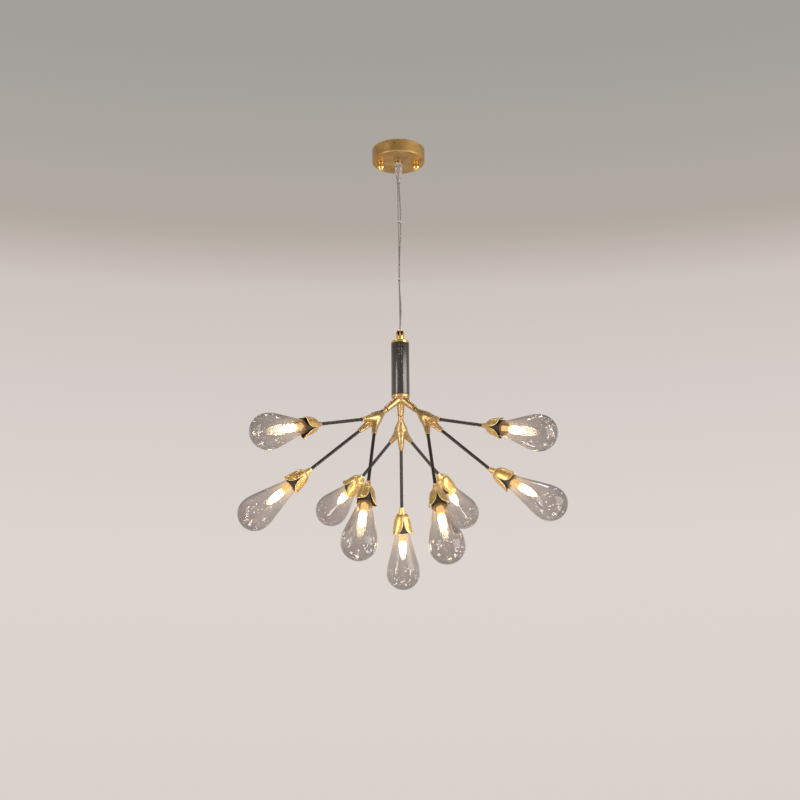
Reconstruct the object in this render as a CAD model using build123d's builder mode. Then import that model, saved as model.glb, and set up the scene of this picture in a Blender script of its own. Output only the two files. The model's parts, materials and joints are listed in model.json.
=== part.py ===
from build123d import *
import math
import os

# Branching chandelier: a round ceiling canopy, a suspension wire and a clear cord, a black
# tube, and three cast forks that each carry three lamps in glass drops.
# Millimetres, +Z up. The origin is the centre of the canopy's rim, on the ceiling.

# General fits
overrun = 2.0
seat_gap = 0.3
fit_gap = 0.05

# Canopy, an open drum with its floor at the bottom
canopy_r = 50.0
canopy_h = 25.0
canopy_wall = 1.2
canopy_edge_r = 2.0

# Ceiling bracket, a steel strap across the drum
bracket_l = 86.0
bracket_w = 18.0
bracket_t = 1.5
bracket_corner_r = 4.0
slot_spacing = 44.0
slot_l = 12.0
slot_w = 4.5
cable_hole_r = 7.0

# Ball-headed canopy screws
screw_spacing = 67.0
screw_r = 2.0
screw_neck_r = 5.4
screw_neck_h = 5.0
screw_ball_r = 7.0
screw_ball_drop = 9.5
screw_washer_r = 6.6
screw_washer_h = 1.2

# Cord grip: a clear tapered sleeve with a threaded shank and two nuts
grip_shank_r = 5.0
grip_bore_clear = 0.25
grip_nut_r = 7.2
grip_nut_h = 5.0
grip_nut_edge = 0.8
grip_thread_over = 0.8
grip_top_r = 7.8
grip_tip_r = 3.1
grip_h = 38.5
grip_belly_r_share = 0.9
grip_belly_l_share = 0.55

# Suspension wire and power cord
wire_r = 0.6
stop_wall = 0.5
stop_h = 5.0
cord_r = 1.4
cord_x = 0.85
pair_gap = 0.6
sway_gap = 0.7
cord_turn_r = 8.4
cord_entry_depth = 2.7
route_arc_share = 0.45

# Terminal block inside the canopy
block_w = 30.0
block_d = 14.0
block_h = 16.0
block_y = 22.0
block_pocket_r = 1.8
block_pocket_depth = 5.0
block_pocket_pitch = 9.0

# Clips that tie the cord to the wire
clip_h = 3.2
clip_wall = 0.8
clip_clear = 0.15
clip_head = 3.4
clip_tail_w = 1.0
clip_tail_l = 5.5
clip_drops = (148.0, 265.0)

# Hanging yoke, its shank and nut
yoke_top_drop = 363.0
yoke_h = 24.0
yoke_r = 7.8
yoke_foot_r = 7.6
yoke_top_r = 2.0
yoke_dome_h = 10.5
yoke_wall = 1.6
yoke_crown = 3.0
yoke_floor_h = 5.0
yoke_sill_h = 9.0
yoke_window_w = 10.4
yoke_window_h = 11.8
yoke_dome_r_share = 0.77
yoke_dome_h_share = 0.41
yoke_shank_r = 5.0
yoke_bore_clear = 1.6
yoke_nut_r = 8.0
yoke_nut_h = 4.0
yoke_thread_over = 1.5
ferrule_r = 1.6
ferrule_h = 3.6

# Tube and its cap
tube_l = 98.9
tube_r = 16.7
tube_wall = 1.2
cap_h = 4.7
cap_edge_r = 1.8
spigot_h = 8.0
spigot_wall = 2.0

# Splice connector inside the tube
splice_r = 8.0
splice_h = 26.0
splice_edge_r = 2.0

# Hub, with three sockets that slope down
hub_rim_h = 2.5
hub_bowl_h = 12.0
hub_belly_r_share = 0.7425
hub_belly_h_share = 0.733
hub_bottom_r_share = 0.33
hub_cavity_r = 9.0
hub_floor = 3.0
hub_centre_below = 3.5
socket_l = 40.0
socket_root_r = 7.4
socket_wall = 1.6
socket_lip_over = 0.6
socket_lip_h = 2.4
socket_bore_r = 3.5
socket_bore_depth = 14.0
lead_hole_r = 1.7

# Forks: a stem from the hub and three outlets
fork_azimuths = {"left": 210.0, "right": 330.0, "back": 90.0}
fork_reach = 51.2
fork_below_hub = 46.1
fork_ball_r = 9.2
fork_stem_root_r = 9.0
fork_neck_r = 3.8
fork_flare_r = 5.4
fork_flare_l_share = 0.55
fork_collar_h = 2.0
fork_neck_l = 6.0
outlet_l = 38.7
outlet_wall = 1.15
outlet_mid_r = 5.4
outlet_mid_l = 22.5
outlet_root_r = 9.4
outlet_root_l = 5.5
rod_grip = 8.0

# Rods
rod_r = 3.0
rod_bore_r = 1.7
rod_show_l = 108.7

# Flower cup, measured along the lamp's axis from the end of the rod
nipple_wall = 0.85
nipple_r = 6.85
nipple_l = 11.5
nipple_lip_h = 1.0
nipple_groove_r = 6.2
cup_floor_t = 4.5
petal_count = 3
petal_t = 1.2
petal_tip_l = 47.3
petal_tip_r = 19.4
petal_split_l = 22.5
petal_split_w = 0.8
petal_dome_shares = ((0.55, 0.10), (0.725, 0.27), (0.81, 0.50))
petal_flare_shares = ((0.81, 0.50), (0.88, 0.77), (1.0, 1.0))
petal_gap_shares = ((0.22, 0.60), (0.85, 1.0))

# Lamp holder: a ceramic column in a dark skirt
holder_base_r = 9.0
holder_base_h = 2.2
skirt_end_l = 48.0
skirt_end_r = 14.0
skirt_root_l = 24.0
skirt_root_r = 11.9
skirt_wall = 1.2
column_r = 8.5
column_l = 47.0
pin_hole_r = 0.75

# Lamp capsule with two pins
pin_r = 0.4
pin_pitch = 9.0
pin_l = 9.0
capsule_base_r = 6.2
capsule_base_l = 13.0
capsule_r = 7.0
capsule_end_l = 102.0
capsule_shoulder = 1.2

# Glass drop
glass_t = 1.4
glass_neck_l = 37.0
glass_body_l = 51.0
glass_body_r = 13.4
glass_tip_l = 158.5
glass_r = 31.0
glass_turn_r = 75.0

# Each arm: its fork, the aim of its rod and of its lamp as azimuth and dip below level in
# degrees, and how far its petals are turned about its lamp's axis.
arms = {
    "left_upper": ("left", 228.8, 16.4, 227.2, 17.4, 34.0),
    "left_lower": ("left", 178.1, 38.6, 178.0, 38.8, 44.0),
    "left_front": ("left", 258.5, 64.6, 252.4, 66.7, 106.0),
    "right_upper": ("right", 313.8, 17.9, 316.5, 17.4, 10.0),
    "right_lower": ("right", 359.8, 40.7, 345.1, 33.6, 34.0),
    "right_front": ("right", 285.0, 68.3, 291.4, 67.6, 56.0),
    "back_left": ("back", 122.0, 22.7, 123.1, 20.5, 50.0),
    "back_right": ("back", 59.8, 21.0, 63.3, 25.5, 84.0),
    "back_low": ("back", 89.7, 61.7, 88.1, 63.8, 78.0),
}

# Route of the power cord from the grip to the yoke, chosen by hand from the photograph.
cord_route = [
    (0.85, 0.0, -69.2),
    (1.2, -0.5, -92.0),
    (3.0, 0.1, -122.0),
    (3.1, 1.1, -152.0),
    (2.1, 2.4, -186.0),
    (0.2, 2.7, -222.0),
    (-0.5, 2.4, -256.0),
    (-0.2, 2.3, -288.0),
    (1.9, 1.0, -314.0),
    (2.0, -2.9, -333.0),
    (1.0, -6.3, -348.0),
    (0.2, -8.2, -362.0),
    (0.0, -6.0, -371.5),
    (0.0, -0.9, -381.0),
    (0.0, 0.0, -390.5),
    (0.0, 0.03, -400.0),
    (0.0, 0.0, -409.0),
]

# Heights that follow from the sizes above
canopy_floor_z = canopy_wall - canopy_h
wire_x = cord_x - cord_r - wire_r - pair_gap
stop_r = wire_r + stop_wall
grip_bore_r = max(cord_x + cord_r, wire_r - wire_x) + grip_bore_clear
grip_top_z = -canopy_h - grip_nut_h
grip_tip_z = grip_top_z - grip_h
grip_thread_z = canopy_floor_z + grip_nut_h + grip_thread_over
drop_top_z = grip_tip_z - sway_gap
cord_turn_z = canopy_floor_z + block_h - cord_entry_depth
cord_end_z = cord_route[-1][2]
yoke_foot_z = -yoke_top_drop - yoke_h
yoke_bore_r = cord_r + yoke_bore_clear
cap_top_z = yoke_foot_z - seat_gap
tube_top_z = cap_top_z - cap_h
tube_bottom_z = tube_top_z - tube_l
yoke_nut_z = tube_top_z - seat_gap
shank_end_z = yoke_nut_z - yoke_nut_h - yoke_thread_over
tube_bore_r = tube_r - tube_wall
spigot_r = tube_bore_r - fit_gap
rod_end_l = outlet_l + rod_show_l
socket_end_r = socket_bore_r + fit_gap + socket_wall
socket_lip_r = socket_end_r + socket_lip_over
outlet_end_r = rod_r + fit_gap + outlet_wall
nipple_end_r = rod_r + fit_gap + nipple_wall
cup_floor = nipple_l + nipple_lip_h + cup_floor_t


def heading(azimuth, dip):
    turn, drop = math.radians(azimuth), math.radians(dip)
    return Vector(math.cos(turn) * math.cos(drop), math.sin(turn) * math.cos(drop), -math.sin(drop))


def aimed_plane(origin, azimuth, dip):
    turn = math.radians(azimuth)
    return Plane(origin=origin, x_dir=Vector(-math.sin(turn), math.cos(turn), 0), z_dir=heading(azimuth, dip))


def section_of(frame):
    """The plane through a frame's axis, with radius along its x and the axis along its y."""
    return Plane(origin=frame.origin, x_dir=frame.x_dir, z_dir=-frame.y_dir)


def axis_of(frame):
    return Axis(frame.origin, frame.z_dir)


def fork_centre(fork):
    turn = math.radians(fork_azimuths[fork])
    return hub_centre + Vector(fork_reach * math.cos(turn), fork_reach * math.sin(turn), -fork_below_hub)


hub_centre = Vector(0, 0, tube_bottom_z - hub_centre_below)
stem_dip = math.degrees(math.atan2(fork_below_hub, fork_reach))
stem_l = math.hypot(fork_reach, fork_below_hub)


def stem_plane(fork):
    return aimed_plane(hub_centre, fork_azimuths[fork], stem_dip)


def rod_plane(arm):
    fork, azimuth, dip = arms[arm][:3]
    return aimed_plane(fork_centre(fork), azimuth, dip)


def lamp_plane(arm):
    rod = rod_plane(arm)
    return aimed_plane(rod.origin + rod.z_dir * rod_end_l, arms[arm][3], arms[arm][4])


def shares_to_points(shares, r, start, end):
    return [(share_r * r, start + share_l * (end - start)) for share_r, share_l in shares]


def keep(piece, name):
    piece.label = name
    export_step(piece, f"parts/{name}.step")


def route_radii(points):
    """The largest tangent arc at each inner point of a route."""
    radii = []
    for before, here, after in zip(points, points[1:], points[2:]):
        run_in, run_out = Vector(*here) - Vector(*before), Vector(*after) - Vector(*here)
        half_turn = math.radians(run_in.get_angle(run_out)) / 2
        radii.append(route_arc_share * min(run_in.length, run_out.length) / math.tan(half_turn))
    return radii


os.makedirs("parts", exist_ok=True)

# Canopy
with BuildPart() as canopy:
    with BuildSketch(Plane.XY.offset(-canopy_h)):
        Circle(canopy_r)
    extrude(amount=canopy_h)
    fillet(canopy.edges().group_by(Axis.Z)[0], radius=canopy_edge_r)
    with BuildSketch(Plane.XY.offset(canopy_floor_z)):
        Circle(canopy_r - canopy_wall)
    extrude(amount=canopy_h, mode=Mode.SUBTRACT)
    with BuildSketch(Plane.XY.offset(-canopy_h - overrun)):
        Circle(grip_shank_r + fit_gap)
        with GridLocations(screw_spacing, 0, 2, 1):
            Circle(screw_r + fit_gap)
    extrude(amount=canopy_wall + 2 * overrun, mode=Mode.SUBTRACT)
keep(canopy.part, "canopy")

# Ceiling bracket
with BuildPart() as ceiling_bracket:
    with BuildSketch(Plane.XY.offset(-bracket_t)):
        RectangleRounded(bracket_l, bracket_w, bracket_corner_r)
        Circle(cable_hole_r, mode=Mode.SUBTRACT)
        with GridLocations(slot_spacing, 0, 2, 1):
            SlotOverall(slot_l, slot_w, mode=Mode.SUBTRACT)
        with GridLocations(screw_spacing, 0, 2, 1):
            Circle(screw_r + fit_gap, mode=Mode.SUBTRACT)
    extrude(amount=bracket_t)
keep(ceiling_bracket.part, "ceiling_bracket")


def canopy_screw(x):
    """A ball-headed screw that holds the canopy up to the bracket."""
    head_z = -canopy_h - seat_gap
    frame = Plane(origin=(x, 0, head_z), x_dir=(1, 0, 0), z_dir=(0, 0, -1))
    ball_end = screw_ball_drop + screw_ball_r
    ball_top = screw_ball_drop - math.sqrt(screw_ball_r**2 - screw_neck_r**2)
    with BuildPart() as screw:
        with BuildSketch(section_of(frame)):
            with BuildLine():
                Polyline(
                    (0, head_z), (screw_r, head_z), (screw_r, 0), (screw_washer_r, 0),
                    (screw_washer_r, screw_washer_h), (screw_neck_r, screw_washer_h),
                    (screw_neck_r, ball_top),
                )
                ThreePointArc((screw_neck_r, ball_top), (screw_ball_r, screw_ball_drop), (0, ball_end))
                Line((0, ball_end), (0, head_z))
            make_face()
        revolve(axis=axis_of(frame))
    return screw.part


keep(canopy_screw(-screw_spacing / 2), "canopy_screw_left")
keep(canopy_screw(screw_spacing / 2), "canopy_screw_right")

# Cord grip and its two nuts
with BuildPart() as cord_grip:
    with BuildSketch(Plane.XZ):
        with BuildLine():
            Polyline(
                (0, grip_thread_z), (grip_shank_r, grip_thread_z), (grip_shank_r, grip_top_z),
                (grip_top_r, grip_top_z),
            )
            ThreePointArc(
                (grip_top_r, grip_top_z),
                (grip_top_r * grip_belly_r_share, grip_top_z - grip_h * grip_belly_l_share),
                (grip_tip_r, grip_tip_z),
            )
            Polyline((grip_tip_r, grip_tip_z), (0, grip_tip_z), (0, grip_thread_z))
        make_face()
    revolve(axis=Axis.Z)
    with BuildSketch(Plane.XY.offset(grip_tip_z - overrun)):
        Circle(grip_bore_r)
    extrude(amount=grip_thread_z - grip_tip_z + 2 * overrun, mode=Mode.SUBTRACT)
keep(cord_grip.part, "cord_grip")

with BuildPart() as grip_nuts:
    with BuildSketch(Plane.XY.offset(grip_top_z)):
        Circle(grip_nut_r)
        Circle(grip_shank_r + fit_gap, mode=Mode.SUBTRACT)
    extrude(amount=grip_nut_h)
    with BuildSketch(Plane.XY.offset(canopy_floor_z)):
        Circle(grip_nut_r)
        Circle(grip_shank_r + fit_gap, mode=Mode.SUBTRACT)
    extrude(amount=grip_nut_h)
    chamfer(grip_nuts.edges().filter_by(GeomType.CIRCLE).group_by(SortBy.RADIUS)[-1], length=grip_nut_edge)
keep(grip_nuts.part, "grip_nuts")

# The wire's end above the sway point, with its swaged stop on the grip's shank
with BuildPart() as canopy_wire:
    with BuildSketch(Plane.XY.offset(grip_tip_z)):
        with Locations((wire_x, 0)):
            Circle(wire_r)
    extrude(amount=grip_thread_z + seat_gap + stop_h - grip_tip_z)
    with BuildSketch(Plane.XY.offset(grip_thread_z + seat_gap)):
        with Locations((wire_x, 0)):
            Circle(stop_r)
    extrude(amount=stop_h)
keep(canopy_wire.part, "canopy_wire")

# The cord's end above the sway point, bent over into the terminal block
block_face_y = block_y - block_d / 2
with BuildPart() as canopy_cord:
    with BuildLine() as canopy_cord_path:
        FilletPolyline(
            (cord_x, 0, grip_tip_z), (cord_x, 0, cord_turn_z), (cord_x, block_face_y, cord_turn_z),
            radius=cord_turn_r,
        )
    with BuildSketch(Plane(origin=(cord_x, 0, grip_tip_z), z_dir=(0, 0, 1))):
        Circle(cord_r)
    sweep(path=canopy_cord_path.wire())
keep(canopy_cord.part, "canopy_cord")

with BuildPart() as terminal_block:
    with BuildSketch(Plane.XY.offset(canopy_floor_z)):
        with Locations((0, block_y)):
            Rectangle(block_w, block_d)
    extrude(amount=block_h)
    with BuildSketch(Plane.XY.offset(canopy_floor_z + block_h)):
        with Locations((0, block_y)):
            with GridLocations(block_pocket_pitch, 0, 3, 1):
                Circle(block_pocket_r)
    extrude(amount=-block_pocket_depth, mode=Mode.SUBTRACT)
keep(terminal_block.part, "terminal_block")

# Suspension wire, straight from the grip down through the yoke's crown to its ferrule
crown_z = -yoke_top_drop - yoke_crown
wire_top = Vector(wire_x, 0, drop_top_z)
wire_foot = Vector(0, 0, crown_z - seat_gap)
wire_plane = Plane(origin=wire_foot, z_dir=wire_top - wire_foot)
with BuildPart() as suspension_wire:
    with BuildSketch(wire_plane):
        Circle(wire_r)
    extrude(amount=(wire_top - wire_foot).length)
    with BuildSketch(Plane.XY.offset(crown_z - seat_gap - ferrule_h)):
        Circle(ferrule_r)
    extrude(amount=ferrule_h)
keep(suspension_wire.part, "suspension_wire")

# Power cord
cord_radii = route_radii(cord_route)
with BuildPart() as power_cord:
    with BuildLine() as cord_path:
        FilletPolyline(*cord_route, radius=cord_radii)
    with BuildSketch(Plane(origin=cord_path.wire() @ 0, z_dir=cord_path.wire() % 0)):
        Circle(cord_r)
    sweep(path=cord_path.wire())
keep(power_cord.part, "power_cord")
cord_length = cord_path.wire().length
print("cord length", round(cord_length, 1), "smallest radius", round(min(cord_radii), 1))
print("cord volume over section times length", round(power_cord.part.volume / (math.pi * cord_r**2 * cord_length), 4))


def cord_at(drop):
    """The middle of the cord at a depth below the ceiling, between two points of its route."""
    for (x0, y0, z0), (x1, y1, z1) in zip(cord_route, cord_route[1:]):
        if z1 <= -drop <= z0:
            share = (-drop - z0) / (z1 - z0)
            return Vector(x0 + share * (x1 - x0), y0 + share * (y1 - y0), -drop)


# Clips around the wire and the cord
with BuildPart() as cord_clips:
    for drop in clip_drops:
        cord_point = cord_at(drop)
        wire_point = wire_foot + (wire_top - wire_foot) * ((-drop - wire_foot.Z) / (wire_top.Z - wire_foot.Z))
        apart = cord_point - wire_point
        clip_plane = Plane(origin=(cord_point + wire_point) / 2, x_dir=apart, z_dir=(0, 0, 1))
        inner_r = cord_r + clip_clear
        with BuildSketch(clip_plane.offset(-clip_h / 2)):
            SlotCenterToCenter(apart.length, 2 * (inner_r + clip_wall))
            with Locations((-apart.length / 2 - inner_r - clip_head / 2, 0)):
                Rectangle(clip_head, clip_head)
            with Locations((apart.length / 2 + inner_r + clip_tail_l / 2, 0)):
                Rectangle(clip_tail_l, clip_tail_w)
            SlotCenterToCenter(apart.length, 2 * inner_r, mode=Mode.SUBTRACT)
        extrude(amount=clip_h)
keep(cord_clips.part, "cord_clips")

# Hanging yoke: a bell with a window in front, and a hollow shank that turns in the tube's cap
yoke_dome_z = -yoke_top_drop - yoke_dome_h
yoke_floor_z = yoke_foot_z + yoke_floor_h
yoke_sill_z = yoke_foot_z + yoke_sill_h
window_r = yoke_window_w / 2
window_arch_z = yoke_sill_z + yoke_window_h - window_r
with BuildPart() as hanging_yoke:
    with BuildSketch(Plane.XZ):
        with BuildLine():
            Polyline(
                (0, -yoke_top_drop), (0, shank_end_z), (yoke_shank_r, shank_end_z), (yoke_shank_r, yoke_foot_z),
                (yoke_foot_r, yoke_foot_z), (yoke_r, yoke_dome_z),
            )
            ThreePointArc(
                (yoke_r, yoke_dome_z),
                (yoke_r * yoke_dome_r_share, -yoke_top_drop - yoke_dome_h * yoke_dome_h_share),
                (yoke_top_r, -yoke_top_drop),
            )
            Line((yoke_top_r, -yoke_top_drop), (0, -yoke_top_drop))
        make_face()
    revolve(axis=Axis.Z)
    with BuildSketch(Plane.XZ):
        inner_r = yoke_r - yoke_wall
        inner_h = yoke_dome_h - yoke_crown
        with BuildLine():
            Polyline((0, crown_z), (0, yoke_floor_z), (inner_r, yoke_floor_z), (inner_r, yoke_dome_z))
            ThreePointArc(
                (inner_r, yoke_dome_z),
                (inner_r * yoke_dome_r_share, crown_z - inner_h * yoke_dome_h_share),
                (yoke_top_r, crown_z),
            )
            Line((yoke_top_r, crown_z), (0, crown_z))
        make_face()
    revolve(axis=Axis.Z, mode=Mode.SUBTRACT)
    with BuildSketch(Plane.XZ):
        with BuildLine():
            Polyline(
                (window_r, window_arch_z), (window_r, yoke_sill_z), (-window_r, yoke_sill_z),
                (-window_r, window_arch_z),
            )
            ThreePointArc(
                (-window_r, window_arch_z), (0, window_arch_z + window_r), (window_r, window_arch_z)
            )
        make_face()
    extrude(amount=yoke_r + overrun, mode=Mode.SUBTRACT)
    with BuildSketch(Plane.XY.offset(shank_end_z - overrun)):
        Circle(yoke_bore_r)
    extrude(amount=yoke_floor_z - shank_end_z + 2 * overrun, mode=Mode.SUBTRACT)
    with BuildSketch(Plane.XY.offset(crown_z - overrun)):
        Circle(wire_r + seat_gap)
    extrude(amount=yoke_crown + 2 * overrun, mode=Mode.SUBTRACT)
keep(hanging_yoke.part, "hanging_yoke")

with BuildPart() as yoke_nut:
    with BuildSketch(Plane.XY.offset(yoke_nut_z - yoke_nut_h)):
        RegularPolygon(yoke_nut_r, 6)
        Circle(yoke_shank_r + fit_gap, mode=Mode.SUBTRACT)
    extrude(amount=yoke_nut_h)
keep(yoke_nut.part, "yoke_nut")

# Cap on the tube, with a spigot inside it
with BuildPart() as tube_cap:
    with BuildSketch(Plane.XY.offset(tube_top_z)):
        Circle(tube_r)
    extrude(amount=cap_h)
    fillet(tube_cap.edges().group_by(Axis.Z)[-1], radius=cap_edge_r)
    with BuildSketch(Plane.XY.offset(tube_top_z - spigot_h)):
        Circle(spigot_r)
        Circle(spigot_r - spigot_wall, mode=Mode.SUBTRACT)
    extrude(amount=spigot_h)
    with BuildSketch(Plane.XY.offset(tube_top_z - overrun)):
        Circle(yoke_shank_r + fit_gap)
    extrude(amount=cap_h + 2 * overrun, mode=Mode.SUBTRACT)
keep(tube_cap.part, "tube_cap")

with BuildPart() as body_tube:
    with BuildSketch(Plane.XY.offset(tube_bottom_z)):
        Circle(tube_r)
        Circle(tube_bore_r, mode=Mode.SUBTRACT)
    extrude(amount=tube_l)
keep(body_tube.part, "body_tube")

with BuildPart() as splice_connector:
    with BuildSketch(Plane.XY.offset(cord_end_z - seat_gap - splice_h)):
        Circle(splice_r)
    extrude(amount=splice_h)
    fillet(splice_connector.edges().group_by(Axis.Z)[-1], radius=splice_edge_r)
keep(splice_connector.part, "splice_connector")

# Hub: a bowl under the tube with three sockets
with BuildPart() as hub:
    with BuildSketch(Plane.XZ):
        bowl_top_z = tube_bottom_z - hub_rim_h
        bowl_foot_z = tube_bottom_z - hub_bowl_h
        with BuildLine():
            Polyline(
                (0, bowl_foot_z), (0, tube_bottom_z + spigot_h), (spigot_r, tube_bottom_z + spigot_h),
                (spigot_r, tube_bottom_z), (tube_r, tube_bottom_z), (tube_r, bowl_top_z),
            )
            ThreePointArc(
                (tube_r, bowl_top_z),
                (tube_r * hub_belly_r_share, tube_bottom_z - hub_bowl_h * hub_belly_h_share),
                (tube_r * hub_bottom_r_share, bowl_foot_z),
            )
            Line((tube_r * hub_bottom_r_share, bowl_foot_z), (0, bowl_foot_z))
        make_face()
    revolve(axis=Axis.Z)
    for fork in fork_azimuths:
        with BuildSketch(section_of(stem_plane(fork))):
            with BuildLine():
                Polyline(
                    (0, 0), (socket_root_r, 0), (socket_end_r, socket_l - socket_lip_h),
                    (socket_lip_r, socket_l - socket_lip_h), (socket_lip_r, socket_l), (0, socket_l), (0, 0),
                )
            make_face()
        revolve(axis=axis_of(stem_plane(fork)))
    with BuildSketch(Plane.XY.offset(bowl_foot_z + hub_floor)):
        Circle(hub_cavity_r)
    extrude(amount=hub_bowl_h + spigot_h, mode=Mode.SUBTRACT)
    for fork in fork_azimuths:
        with BuildSketch(stem_plane(fork).offset(socket_l - socket_bore_depth)):
            Circle(socket_bore_r + fit_gap)
        extrude(amount=socket_bore_depth + overrun, mode=Mode.SUBTRACT)
        with BuildSketch(stem_plane(fork)):
            Circle(lead_hole_r)
        extrude(amount=socket_l, mode=Mode.SUBTRACT)
keep(hub.part, "hub")


def fork_casting(fork):
    """A stem that turns in the hub's socket, and three flared outlets for the rods."""
    stem = stem_plane(fork)
    collar = socket_l + seat_gap
    flare_l = collar + fork_neck_l + fork_flare_l_share * (stem_l - collar - fork_neck_l)
    own_arms = [arm for arm in arms if arms[arm][0] == fork]
    with BuildPart() as casting:
        with BuildSketch(section_of(stem)):
            with BuildLine():
                Polyline(
                    (0, stem_l), (0, collar - socket_bore_depth + seat_gap),
                    (socket_bore_r, collar - socket_bore_depth + seat_gap), (socket_bore_r, collar),
                    (socket_end_r, collar), (socket_end_r, collar + fork_collar_h),
                    (fork_neck_r, collar + fork_neck_l),
                )
                ThreePointArc(
                    (fork_neck_r, collar + fork_neck_l), (fork_flare_r, flare_l), (fork_stem_root_r, stem_l)
                )
                Line((fork_stem_root_r, stem_l), (0, stem_l))
            make_face()
        revolve(axis=axis_of(stem))
        with Locations(fork_centre(fork)):
            Sphere(fork_ball_r)
        for arm in own_arms:
            rod = rod_plane(arm)
            with BuildSketch(section_of(rod)):
                with BuildLine():
                    Polyline((0, outlet_l), (0, 0), (outlet_root_r, 0), (outlet_root_r, outlet_root_l))
                    ThreePointArc(
                        (outlet_root_r, outlet_root_l), (outlet_mid_r, outlet_mid_l), (outlet_end_r, outlet_l)
                    )
                    Line((outlet_end_r, outlet_l), (0, outlet_l))
                make_face()
            revolve(axis=axis_of(rod))
        for arm in own_arms:
            rod = rod_plane(arm)
            with BuildSketch(rod.offset(outlet_l - rod_grip)):
                Circle(rod_r + fit_gap)
            extrude(amount=rod_grip + overrun, mode=Mode.SUBTRACT)
            with BuildSketch(rod):
                Circle(lead_hole_r)
            extrude(amount=outlet_l, mode=Mode.SUBTRACT)
        with BuildSketch(stem):
            Circle(lead_hole_r)
        extrude(amount=stem_l, mode=Mode.SUBTRACT)
    return casting.part


def fork_rods(fork):
    """The fork's three hollow rods, each held in its outlet and in its flower cup."""
    with BuildPart() as rods:
        for arm in arms:
            if arms[arm][0] == fork:
                with BuildSketch(rod_plane(arm).offset(outlet_l - rod_grip)):
                    Circle(rod_r)
                    Circle(rod_bore_r, mode=Mode.SUBTRACT)
                extrude(amount=rod_show_l + 2 * rod_grip)
    return rods.part


for fork in fork_azimuths:
    keep(fork_casting(fork), f"fork_{fork}")
    keep(fork_rods(fork), f"rods_{fork}")


def flower_cup(arm):
    """A tapered nipple and a bell of three petals that flare at their tips."""
    frame = lamp_plane(arm)
    dome = shares_to_points(petal_dome_shares, petal_tip_r, nipple_l + nipple_lip_h, petal_tip_l)
    flare = shares_to_points(petal_flare_shares, petal_tip_r, nipple_l + nipple_lip_h, petal_tip_l)
    inner_dome = [(r - petal_t, along) for r, along in (dome[2], dome[1], (dome[0][0], cup_floor))]
    inner_flare = [(r - petal_t, along) for r, along in reversed(flare)]
    with BuildPart() as cup:
        with BuildSketch(section_of(frame)):
            with BuildLine():
                Polyline(
                    (0, cup_floor), (0, 0), (nipple_end_r, 0), (nipple_r, nipple_l),
                    (nipple_r, nipple_l + nipple_lip_h), (nipple_groove_r, nipple_l + nipple_lip_h),
                    dome[0],
                )
                ThreePointArc(*dome)
                ThreePointArc(*flare)
                Line(flare[2], inner_flare[0])
                ThreePointArc(*inner_flare)
                ThreePointArc(*inner_dome)
                Line(inner_dome[2], (0, cup_floor))
            make_face()
        revolve(axis=axis_of(frame))
        for petal in range(petal_count):
            turn = arms[arm][5] + (petal + 0.5) * 360 / petal_count
            side = frame.x_dir.rotate(Axis((0, 0, 0), frame.z_dir), turn)
            cutter = Plane(origin=frame.origin, x_dir=frame.z_dir.cross(side), z_dir=side)
            split = (petal_split_w / 2, petal_split_l)
            edge = shares_to_points(petal_gap_shares, petal_tip_r, petal_split_l, petal_tip_l + seat_gap)
            with BuildSketch(cutter):
                with BuildLine():
                    Line((-split[0], split[1]), split)
                    ThreePointArc(split, *edge)
                    Line(edge[1], (-edge[1][0], edge[1][1]))
                    ThreePointArc(*[(-r, along) for r, along in (edge[1], edge[0], split)])
                make_face()
            extrude(amount=petal_tip_r + overrun, mode=Mode.SUBTRACT)
        rod = rod_plane(arm)
        with BuildSketch(rod.offset(rod_end_l - overrun)):
            Circle(rod_r + fit_gap)
        extrude(amount=rod_grip + overrun + fit_gap, mode=Mode.SUBTRACT)
        with BuildSketch(frame):
            Circle(lead_hole_r)
        extrude(amount=cup_floor + overrun, mode=Mode.SUBTRACT)
    return cup.part


def pin_places():
    return GridLocations(pin_pitch, 0, 2, 1)


def lamp_holder(arm):
    """A ceramic column with two pin holes, inside a skirt that takes the glass's neck."""
    frame = lamp_plane(arm)
    with BuildPart() as holder:
        with BuildSketch(section_of(frame)):
            with BuildLine():
                Polyline(
                    (0, column_l), (0, cup_floor), (holder_base_r, cup_floor),
                    (holder_base_r, cup_floor + holder_base_h), (skirt_root_r, skirt_root_l),
                    (skirt_end_r, skirt_end_l), (skirt_end_r - skirt_wall, skirt_end_l),
                    (skirt_root_r - skirt_wall, skirt_root_l), (column_r, skirt_root_l),
                    (column_r, column_l), (0, column_l),
                )
            make_face()
        revolve(axis=axis_of(frame))
        with BuildSketch(frame.offset(cup_floor - overrun)):
            Circle(lead_hole_r)
        extrude(amount=holder_base_h + overrun, mode=Mode.SUBTRACT)
        with BuildSketch(frame.offset(column_l + overrun)):
            with pin_places():
                Circle(pin_hole_r)
        extrude(amount=-pin_l - overrun - 2 * seat_gap, mode=Mode.SUBTRACT)
    return holder.part


def lamp_capsule(arm):
    """A plug-in capsule: two pins, a pale base and a round-ended tube."""
    frame = lamp_plane(arm)
    base = column_l + seat_gap
    shoulder = base + capsule_base_l
    with BuildPart() as capsule:
        with BuildSketch(section_of(frame)):
            with BuildLine():
                Polyline(
                    (0, base), (capsule_base_r, base), (capsule_base_r, shoulder),
                    (capsule_r, shoulder + capsule_shoulder), (capsule_r, capsule_end_l - capsule_r),
                )
                CenterArc((0, capsule_end_l - capsule_r), capsule_r, 0, 90)
                Line((0, capsule_end_l), (0, base))
            make_face()
        revolve(axis=axis_of(frame))
        with BuildSketch(frame.offset(base)):
            with pin_places():
                Circle(pin_r)
        extrude(amount=-pin_l)
    return capsule.part


def skirt_bore_at(along):
    rise = (along - skirt_root_l) / (skirt_end_l - skirt_root_l)
    return skirt_root_r + rise * (skirt_end_r - skirt_root_r) - skirt_wall


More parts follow.
